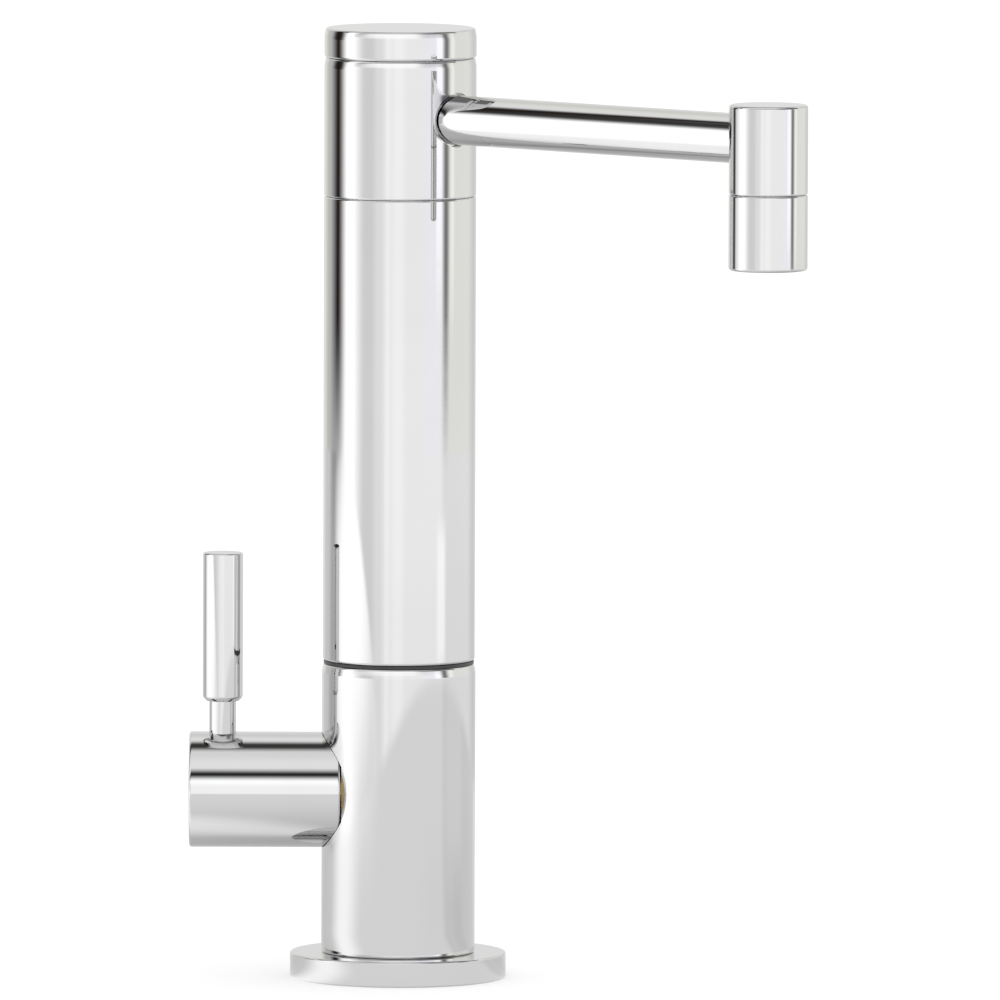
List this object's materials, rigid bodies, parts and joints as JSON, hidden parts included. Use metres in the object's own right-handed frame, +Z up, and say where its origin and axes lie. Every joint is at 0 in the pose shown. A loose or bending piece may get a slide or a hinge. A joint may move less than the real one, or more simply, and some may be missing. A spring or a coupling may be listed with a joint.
{
  "type": "hot water faucet",
  "caption": "Deck-mounted hot water faucet: round column on a flange, side barrel with a stick lever, swivelling upper column, straight arm and round outlet.",
  "frame": {"origin": "on the column's axis, in the plane of the deck that the base flange stands on", "axes": "+Z up along the column, -X along the valve barrel towards the lever, -Y towards the user"},
  "size_m": [0.1529, 0.1176, 0.302],
  "materials": {
    "polished_chrome": "polished",
    "plain_brass": "satin",
    "stainless_steel": "satin",
    "black_rubber": "matte",
    "black_plastic": "satin",
    "white_ceramic": "satin",
    "white_plastic": "satin"
  },
  "bodies": {
    "root": {"base_flange": "polished_chrome", "base_gasket": "black_rubber", "lower_body": "polished_chrome", "inlet_shank": "plain_brass", "shank_o_ring": "black_rubber", "deck_rubber_washer": "black_rubber", "deck_steel_washer": "stainless_steel", "mounting_nut": "plain_brass", "cartridge_body": "plain_brass", "cartridge_o_ring": "black_rubber", "cartridge_seat_seal": "black_rubber", "fixed_ceramic_disc": "white_ceramic", "swivel_post": "plain_brass", "post_o_rings": "black_rubber", "retaining_ring": "stainless_steel", "swivel_washer": "black_plastic"},
    "lever": {"handle_hub": "polished_chrome", "lever_neck": "polished_chrome", "lever_grip": "polished_chrome", "hub_grub_screw": "stainless_steel", "cartridge_stem": "plain_brass", "moving_ceramic_disc": "white_ceramic", "stem_o_rings": "black_rubber", "stem_thrust_washer": "white_plastic", "stem_clip": "stainless_steel"},
    "spout": {"riser_column": "polished_chrome", "swivel_socket": "plain_brass", "tube_adapter": "plain_brass", "adapter_o_ring": "black_rubber", "delivery_tube": "stainless_steel", "delivery_tube_o_rings": "black_rubber", "spout_head": "polished_chrome", "top_cap": "polished_chrome", "cap_o_ring": "black_rubber", "spout_arm": "polished_chrome", "outlet_body": "polished_chrome", "aerator_housing": "polished_chrome", "aerator_insert": "white_plastic", "aerator_screen": "stainless_steel", "aerator_washer": "black_rubber"}
  },
  "joints": [
    {"name": "spout_swivel", "type": "hinge", "parent": "root", "child": "spout", "pos_m": [0, 0, 0.0793], "axis": [0, 0, 1], "continuous": true},
    {"name": "lever_turn", "type": "hinge", "parent": "root", "child": "lever", "pos_m": [-0.044, 0, 0.047], "axis": [1, 0, 0], "range_deg": [0, 90]}
  ]
}
